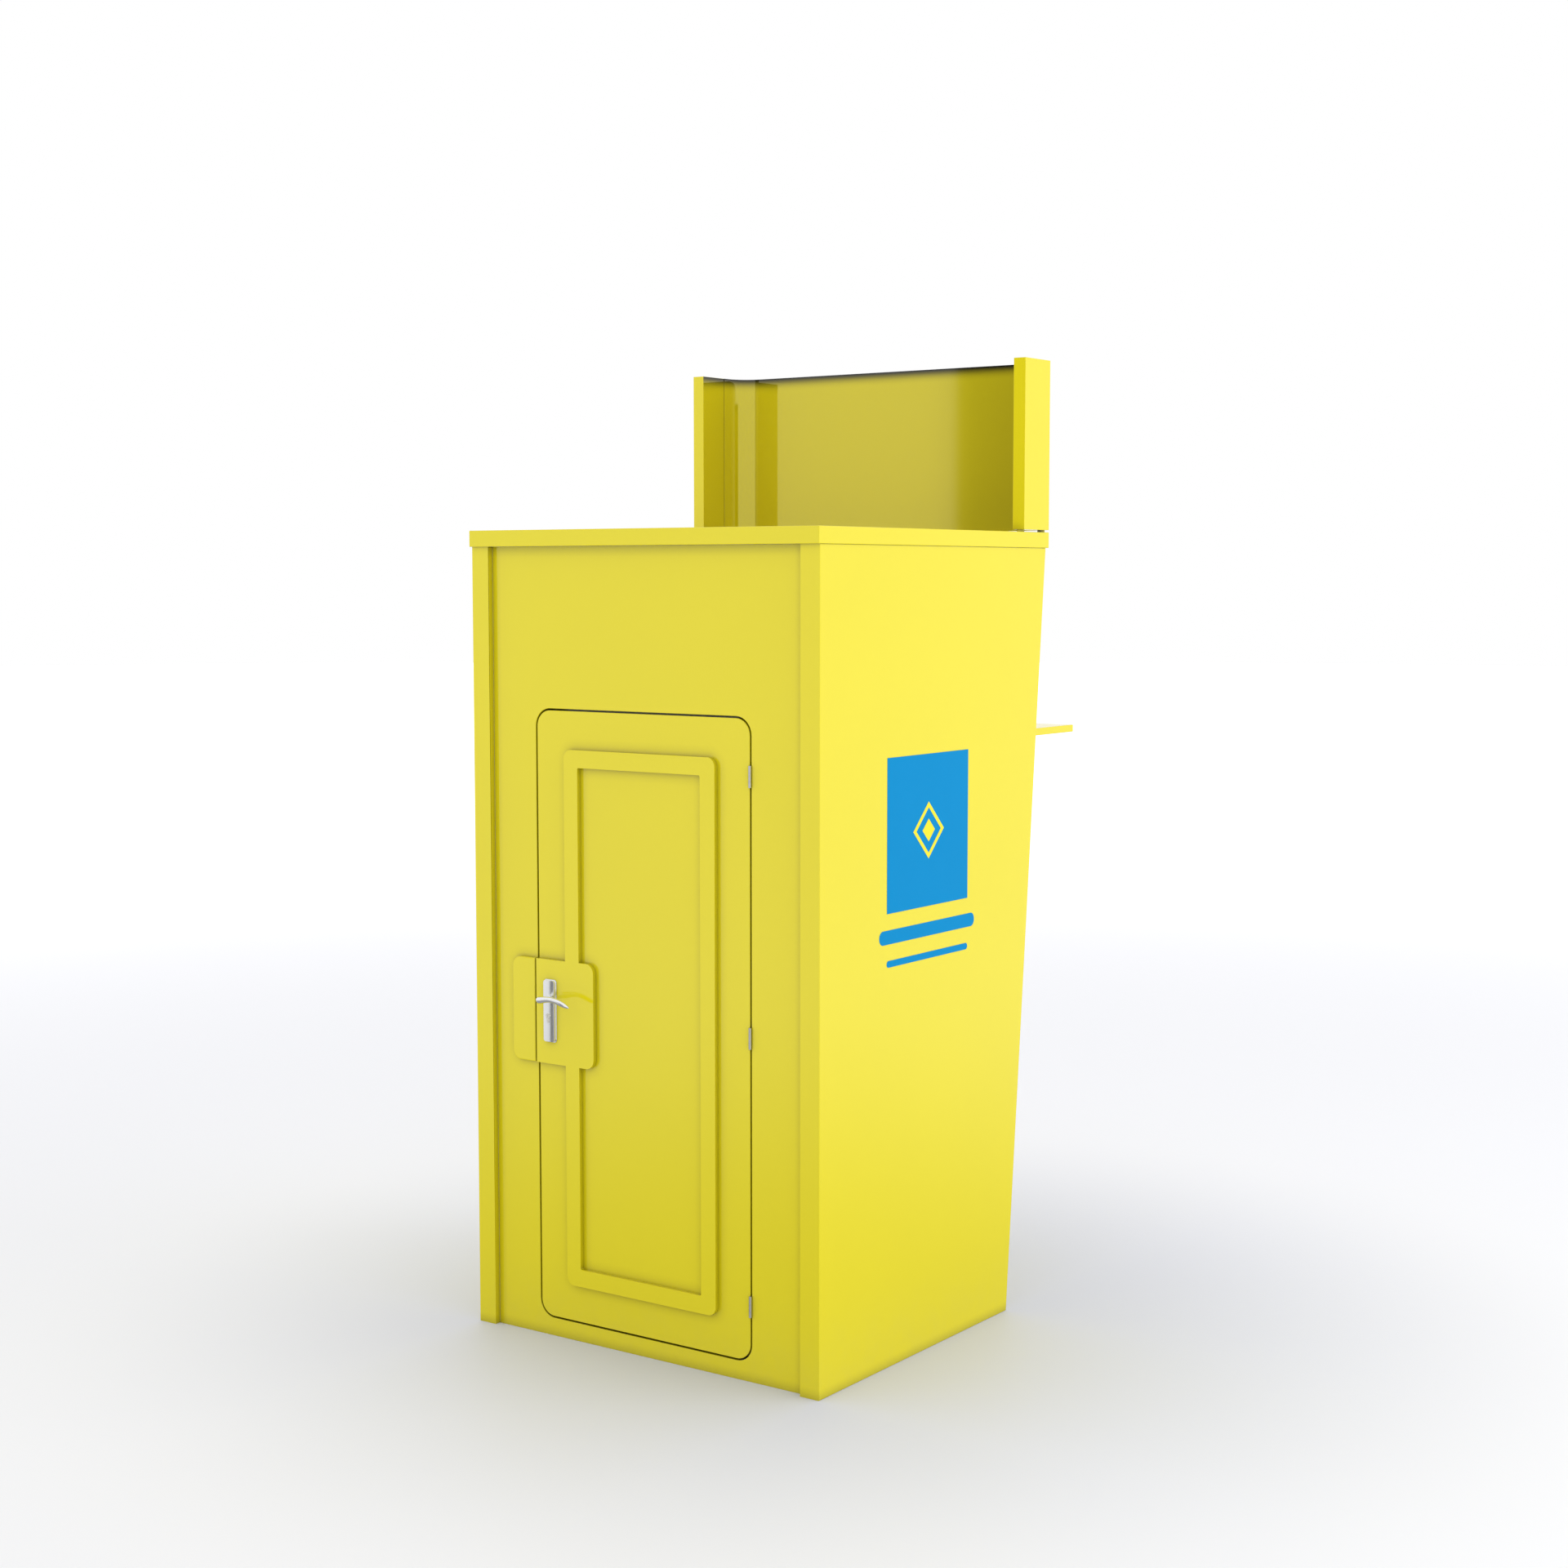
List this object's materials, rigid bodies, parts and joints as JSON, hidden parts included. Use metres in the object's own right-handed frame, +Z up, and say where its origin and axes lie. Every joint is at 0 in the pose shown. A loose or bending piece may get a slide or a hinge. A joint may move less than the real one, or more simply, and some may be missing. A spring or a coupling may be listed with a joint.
{
  "type": "street vending kiosk",
  "caption": "Walk-in street vending kiosk with a leaning front, a service window under a top-hung flap, a rear staff door with a lever lock and a raised roof sign.",
  "frame": {"origin": "on the ground, at the centre of the four floor anchors", "axes": "+Z up; customers stand at -Y, where the front leans out; the staff door is at +Y; the door's lock side is +X"},
  "size_m": [1.316, 1.9967, 3.046],
  "materials": {
    "body_paint": "high-gloss yellow powder coat",
    "moulded_trim": "high-gloss yellow moulding",
    "inner_lining": "satin light grey board",
    "frame_steel": "grey primer",
    "deck_board": "textured grey-brown phenolic deck",
    "satin_steel": "satin stainless",
    "handle_chrome": "satin chrome",
    "lock_brass": "nickelled brass",
    "seal_rubber": "matte black",
    "graphic_film": "printed gloss film",
    "sign_face": "opal acrylic",
    "lamp_lens": "opal diffuser",
    "counter_laminate": "laminate",
    "drawer_paint": "dark grey enamel"
  },
  "bodies": {
    "booth": {"base_frame": "frame_steel", "floor_deck": "deck_board", "side_skin_left": "body_paint", "side_skin_right": "body_paint", "side_lining_left": "inner_lining", "side_lining_right": "inner_lining", "rear_wall_skin": "body_paint", "rear_wall_lining": "inner_lining", "door_frame": "body_paint", "door_seal": "seal_rubber", "front_wall_skin": "body_paint", "front_wall_lining": "inner_lining", "window_liner": "satin_steel", "roof_skin": "body_paint", "ceiling_panel": "inner_lining", "header_fin_left": "moulded_trim", "header_fin_right": "moulded_trim", "header_light_box": "body_paint", "header_face": "sign_face", "header_feet": "seal_rubber", "header_bolts": "satin_steel", "side_graphic_left": "graphic_film", "side_graphic_right": "graphic_film", "ceiling_lamp_housing": "drawer_paint", "ceiling_lamp_diffuser": "lamp_lens", "counter_top": "counter_laminate", "counter_cleats": "frame_steel", "drawer_runners": "frame_steel", "wall_lock_pad": "moulded_trim", "strike_plate": "satin_steel", "hinge_wall_leaves": "satin_steel", "hinge_pins": "satin_steel", "stay_rests": "satin_steel", "flap_hinge_wall_leaf": "satin_steel", "flap_hinge_pin": "satin_steel"},
    "door": {"door_skin": "body_paint", "door_lining": "inner_lining", "door_moulding": "moulded_trim", "door_lock_pad": "moulded_trim", "hinge_door_leaves": "satin_steel", "outer_handle_plate": "handle_chrome", "inner_handle_plate": "handle_chrome", "handle_plate_screws": "satin_steel", "lock_case": "frame_steel", "lock_face_plate": "satin_steel", "lock_cylinder": "lock_brass"},
    "levers": {"outer_lever": "handle_chrome", "inner_lever": "handle_chrome", "lever_spindle": "frame_steel"},
    "latch": {"latch_bolt": "satin_steel"},
    "plug": {"cylinder_plug": "lock_brass"},
    "dead_bolt": {"dead_bolt": "satin_steel"},
    "flap": {"flap_skin": "body_paint", "flap_inner_sheet": "inner_lining", "flap_hinge_flap_leaf": "satin_steel", "flap_fittings": "satin_steel"},
    "stay_left": {"stay_left": "satin_steel"},
    "stay_right": {"stay_right": "satin_steel"},
    "flap_bolt": {"flap_bolt": "satin_steel"},
    "drawer": {"cash_drawer": "drawer_paint"}
  },
  "joints": [
    {"name": "door_swing", "type": "hinge", "parent": "booth", "child": "door", "pos_m": [-0.3995, 0.515, 1.022], "axis": [0, 0, 1], "range_deg": [0, 110]},
    {"name": "lever_turn", "type": "hinge", "parent": "door", "child": "levers", "pos_m": [0.3525, 0.496, 1.069], "axis": [0, -1, 0], "range_deg": [0, 45], "stiffness_Nm_per_rad": 1.6, "springref_deg": -28.65},
    {"name": "latch_slide", "type": "slide", "parent": "door", "child": "latch", "axis": [-1, 0, 0], "range_m": [0, 0.0105]},
    {"name": "plug_turn", "type": "hinge", "parent": "door", "child": "plug", "pos_m": [0.3525, 0.496, 1.013], "axis": [0, 1, 0], "range_deg": [0, 90]},
    {"name": "dead_bolt_slide", "type": "slide", "parent": "door", "child": "dead_bolt", "axis": [1, 0, 0], "range_m": [0, 0.0141]},
    {"name": "flap_fold", "type": "hinge", "parent": "booth", "child": "flap", "pos_m": [0, -0.67476, 1.8155], "axis": [1, 0, 0], "range_deg": [0, 95]},
    {"name": "stay_left_fold", "type": "hinge", "parent": "flap", "child": "stay_left", "pos_m": [-0.36, -0.89476, 1.804], "axis": [-1, 0, 0], "range_deg": [0, 135.04]},
    {"name": "stay_right_fold", "type": "hinge", "parent": "flap", "child": "stay_right", "pos_m": [0.36, -0.89476, 1.804], "axis": [-1, 0, 0], "range_deg": [0, 135.04]},
    {"name": "flap_bolt_slide", "type": "slide", "parent": "flap", "child": "flap_bolt", "axis": [1, 0, 0], "range_m": [0, 0.018]},
    {"name": "drawer_slide", "type": "slide", "parent": "booth", "child": "drawer", "axis": [0, 1, 0], "range_m": [0, 0.25]}
  ],
  "couplings": [
    {"joint": "latch_slide", "follows": "lever_turn", "m_per_rad": 0.0132},
    {"joint": "dead_bolt_slide", "follows": "plug_turn", "m_per_rad": 0.00892},
    {"joint": "stay_left_fold", "follows": "flap_fold", "ratio": 1.4194},
    {"joint": "stay_right_fold", "follows": "flap_fold", "ratio": 1.4194}
  ]
}
